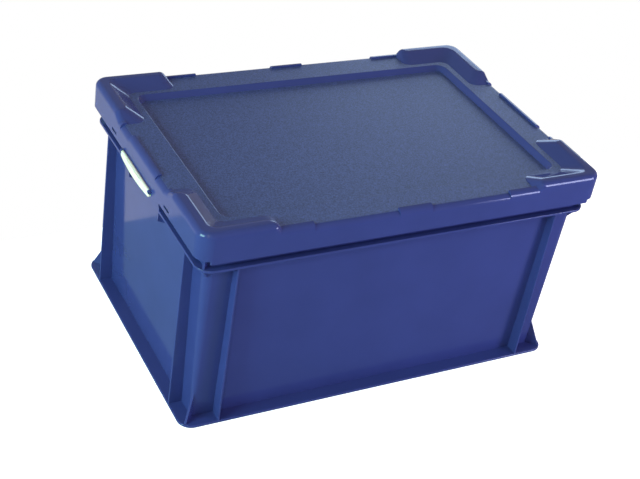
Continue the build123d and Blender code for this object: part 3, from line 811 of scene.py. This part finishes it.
def pan_head_screw(mesh, place, length, cross_depth):
    """One screw whose head's top is at the place's origin: domed head, shank and point.

    A cross one cell wide is pulled down beside the axis. The flat faces that it is pulled from
    stay in place and cover it.
    """
    cells = {"x_segments": CROSS_CELLS, "y_segments": CROSS_CELLS}
    grid = bmesh.ops.create_grid(mesh, size=CROSS_HALF_SIDE, **cells)
    faces = each_once(face for vertex in grid["verts"] for face in vertex.link_faces)
    edges = each_once(edge for face in faces for edge in face.edges)
    border = [edge for edge in edges if edge.is_boundary]
    sides = 4 * CROSS_CELLS
    circle = bmesh.ops.create_circle(mesh, segments=sides, radius=HEAD_FLAT_RADIUS)
    ring = each_once(edge for vertex in circle["verts"] for edge in vertex.link_edges)
    bmesh.ops.bridge_loops(mesh, edges=border + ring)
    cell = 2 * CROSS_HALF_SIDE / CROSS_CELLS
    middles = {face: face.calc_center_median() for face in faces}
    cross = [face for face, at in middles.items() if -cell < at.x < 0 or -cell < at.y < 0]
    sunk = bmesh.ops.extrude_face_region(mesh, geom=cross)
    floor = of_kind(sunk["geom"], bmesh.types.BMVert)
    bmesh.ops.scale(mesh, vec=(CROSS_TAPER, CROSS_TAPER, 1), verts=floor)
    bmesh.ops.translate(mesh, vec=(0, 0, -cross_depth), verts=floor)
    made = grid["verts"] + circle["verts"] + floor
    radius, depth = HEAD_FLAT_RADIUS, 0.0
    for next_radius, next_depth in screw_profile(length):
        pulled = bmesh.ops.extrude_edge_only(mesh, edges=ring)
        verts = of_kind(pulled["geom"], bmesh.types.BMVert)
        ring = of_kind(pulled["geom"], bmesh.types.BMEdge)
        ratio = next_radius / radius
        bmesh.ops.scale(mesh, vec=(ratio, ratio, 1), verts=verts)
        bmesh.ops.translate(mesh, vec=(0, 0, next_depth - depth), verts=verts)
        radius, depth = next_radius, next_depth
        made += verts
    bmesh.ops.contextual_create(mesh, geom=ring)
    made = each_once(vertex for vertex in made if vertex.is_valid)
    bmesh.ops.transform(mesh, matrix=place, verts=made)


def screw_profile(length):
    """Radius and height of each ring, over the head's dome and down to the point's end."""
    dome = []
    for step in range(1, HEAD_DOME_STEPS + 1):
        angle = step * pi / 2 / HEAD_DOME_STEPS
        radius = HEAD_FLAT_RADIUS + (HEAD_RADIUS - HEAD_FLAT_RADIUS) * sin(angle)
        dome.append((radius, -HEAD_DOME * (1 - cos(angle))))
    return dome + [
        (HEAD_RADIUS, -HEAD_HEIGHT),
        (SHANK_RADIUS, -HEAD_HEIGHT),
        (SHANK_RADIUS, -length + POINT_LENGTH),
        (SHANK_RADIUS * POINT_SHARE, -length),
    ]


def sponge_seal(packed, rounding):
    """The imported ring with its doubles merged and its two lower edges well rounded."""
    mesh = bmesh.new()
    mesh.from_mesh(NODES[packed].data)
    bmesh.ops.remove_doubles(mesh, verts=mesh.verts, dist=SAME_POINT)
    whole = {"verts": mesh.verts, "edges": mesh.edges}
    bmesh.ops.dissolve_limit(mesh, angle_limit=SAME_PLANE, **whole)
    bmesh.ops.recalc_face_normals(mesh, faces=mesh.faces)
    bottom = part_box(packed)[0][2] + BOTTOM_BAND
    lower = [edge for edge in mesh.edges if max(v.co.z for v in edge.verts) < bottom]
    lower = [edge for edge in lower if edge.calc_face_angle(0) > SHARP_CORNER]
    rounded(mesh, lower, rounding, SEAL_ROUNDING_STEPS)
    return mesh


# ---- studio ----
def lay_sheet(middle_y, name, material):
    """Lay a level sheet of the studio's floor just under the box's foot."""
    mesh = bmesh.new()
    bmesh.ops.create_grid(mesh, x_segments=1, y_segments=1, size=HALF_METRE)
    bmesh.ops.scale(mesh, vec=(SHEET_WIDTH, SHEET_DEPTH, 1), verts=mesh.verts)
    bmesh.ops.translate(mesh, vec=(0, middle_y, SHEET_DROP), verts=mesh.verts)
    linked(mesh, name, material)


def white_to_see(tree):
    """1 for the rays that show a white background: from the camera, a gloss or a glass."""
    rays = node(tree, "LightPath")
    links = {0: rays.outputs["Is Camera Ray"], 1: rays.outputs["Is Glossy Ray"]}
    seen = node(tree, "Math", links, operation="MAXIMUM")
    links = {0: seen, 1: rays.outputs["Is Transmission Ray"]}
    return node(tree, "Math", links, operation="MAXIMUM")


def seen_white(tree, in_gloss):
    """White to the eye, and a greyer white to a gloss."""
    eye = node(tree, "LightPath").outputs["Is Camera Ray"]
    values = {MIX_A: rgba(linear(in_gloss)), MIX_B: WHITE}
    return node(tree, "Mix", {"Factor": eye}, values, data_type="RGBA").outputs[MIX_RESULT]


def set_table():
    """A pale table that ends behind the box: it takes the box's shadow, is a cool grey to a
    gloss, and turns plain white to the eye further out."""
    material, tree, place = new_material("studio_table_paper")
    rays = node(tree, "LightPath")
    eye = rays.outputs["Is Camera Ray"]
    links = {"Factor": rays.outputs["Is Glossy Ray"]}
    values = {MIX_A: rgba(linear(TABLE_WHITE)), MIX_B: rgba(linear(TABLE_IN_GLOSS))}
    matt = node(tree, "Mix", links, values, data_type="RGBA").outputs[MIX_RESULT]
    links = {"Factor": eye, MIX_A: matt}
    tone = node(tree, "Mix", links, {MIX_B: WHITE}, data_type="RGBA").outputs[MIX_RESULT]
    paper = node(tree, "BsdfDiffuse", {"Color": tone})
    values = {"Color": rgba(WHITE, TABLE_GLOW)}
    glow = node(tree, "Emission", {"Strength": eye}, values)
    near = node(tree, "AddShader", {0: paper, 1: glow})
    away = node(tree, "VectorMath", {0: place}, operation="LENGTH").outputs["Value"]
    values = {"From Min": SHADOW_REACH, "From Max": 2 * SHADOW_REACH}
    far = node(tree, "MapRange", {"Value": away}, values)
    bare = node(tree, "Math", {0: far, 1: eye}, operation="MULTIPLY")
    white = node(tree, "Emission", values={"Color": WHITE})
    mix = node(tree, "MixShader", {0: bare, 1: near, 2: white})
    node(tree, "OutputMaterial", {"Surface": mix})
    lay_sheet(TABLE_EDGE - SHEET_DEPTH / 2, "studio_table", material)


def set_backdrop():
    """White paper beyond the table."""
    material, tree, _ = new_material("studio_backdrop_white")
    paper = node(tree, "BsdfDiffuse", values={"Color": rgba(linear(BACKDROP_WHITE))})
    glow = node(tree, "Emission", {"Color": seen_white(tree, BACKDROP_IN_GLOSS)})
    mix = node(tree, "MixShader", {0: white_to_see(tree), 1: paper, 2: glow})
    node(tree, "OutputMaterial", {"Surface": mix})
    lay_sheet(TABLE_EDGE + SHEET_DEPTH / 2, "studio_backdrop", material)


def set_air(strength):
    """White air to the eye and to a gloss, and a weaker even light on everything."""
    world = bpy.data.worlds.new("studio_air")
    bpy.context.scene.world = world
    world.use_nodes = True
    tree = world.node_tree
    tree.nodes.clear()
    air = node(tree, "Background", values={"Strength": strength, "Color": WHITE})
    links = {"Color": seen_white(tree, AIR_IN_GLOSS)}
    white = node(tree, "Background", links, {"Strength": 1.0})
    mix = node(tree, "MixShader", {0: white_to_see(tree), 1: air, 2: white})
    node(tree, "OutputWorld", {"Surface": mix})


def lamp(name, place, size, watts, colour, in_gloss):
    """A soft rectangular lamp that faces the box, and may be kept out of reflections."""
    light = bpy.data.lights.new(name, "AREA")
    light.shape = "RECTANGLE"
    light.size, light.size_y = size
    light.energy = watts
    light.color = colour
    holder = bpy.data.objects.new(name, light)
    bpy.context.scene.collection.objects.link(holder)
    holder.visible_camera = False
    holder.visible_glossy = in_gloss
    holder.location = place
    toward = Vector(LAMP_AIM) - Vector(place)
    holder.rotation_euler = toward.to_track_quat("-Z", "Y").to_euler()


def set_camera(lens):
    """Look down at the front left corner, with the camera rolled a little."""
    data = bpy.data.cameras.new("studio_camera")
    data.lens = lens
    data.sensor_width = SENSOR_WIDTH
    data.sensor_fit = "HORIZONTAL"
    camera = bpy.data.objects.new("studio_camera", data)
    bpy.context.scene.collection.objects.link(camera)
    around, above = radians(CAMERA_AZIMUTH), radians(CAMERA_ELEVATION)
    roll = radians(CAMERA_ROLL)
    back = Vector((sin(around) * cos(above), -cos(around) * cos(above), sin(above)))
    right = (-back).cross(Vector((0, 0, 1))).normalized()
    top = right.cross(-back)
    rolled_right = cos(roll) * right + sin(roll) * top
    rolled_top = -sin(roll) * right + cos(roll) * top
    turn = Matrix((rolled_right, rolled_top, back)).transposed().to_4x4()
    camera.matrix_world = Matrix.Translation(Vector(CAMERA_PLACE)) @ turn
    bpy.context.scene.camera = camera


# ---- add-on ----
OPERATORS = (
    BOX_OT_blue_mouldings,
    BOX_OT_white_mouldings,
    BOX_OT_insulation,
    BOX_OT_absorbent_mat,
    BOX_OT_cool_packs,
    BOX_OT_screws,
    BOX_OT_seal,
    BOX_OT_studio,
)


class BOX_PT_panel(bpy.types.Panel):
    """The pieces of the transport box"""

    bl_label = "Transport box"
    bl_idname = "BOX_PT_panel"
    bl_space_type = "VIEW_3D"
    bl_region_type = "UI"
    bl_category = "Transport box"

    def draw(self, context):
        for operator in OPERATORS:
            self.layout.operator(operator.bl_idname)


CLASSES = (FinishSettings, FittingSettings, StudioSettings, *OPERATORS, BOX_PT_panel)


def register():
    for item in CLASSES:
        bpy.utils.register_class(item)
    bpy.types.Scene.box_finish = bpy.props.PointerProperty(type=FinishSettings)
    bpy.types.Scene.box_fittings = bpy.props.PointerProperty(type=FittingSettings)
    bpy.types.Scene.box_studio = bpy.props.PointerProperty(type=StudioSettings)


def unregister():
    del bpy.types.Scene.box_studio
    del bpy.types.Scene.box_fittings
    del bpy.types.Scene.box_finish
    for item in reversed(CLASSES):
        bpy.utils.unregister_class(item)


def main():
    register()
    bpy.context.scene.view_settings.view_transform = "Standard"
    bpy.ops.transport_box.blue_mouldings()
    bpy.ops.transport_box.white_mouldings()
    bpy.ops.transport_box.insulation()
    bpy.ops.transport_box.absorbent_mat()
    bpy.ops.transport_box.cool_packs()
    bpy.ops.transport_box.screws()
    bpy.ops.transport_box.seal()
    bpy.ops.transport_box.studio()


if __name__ == "__main__":
    main()
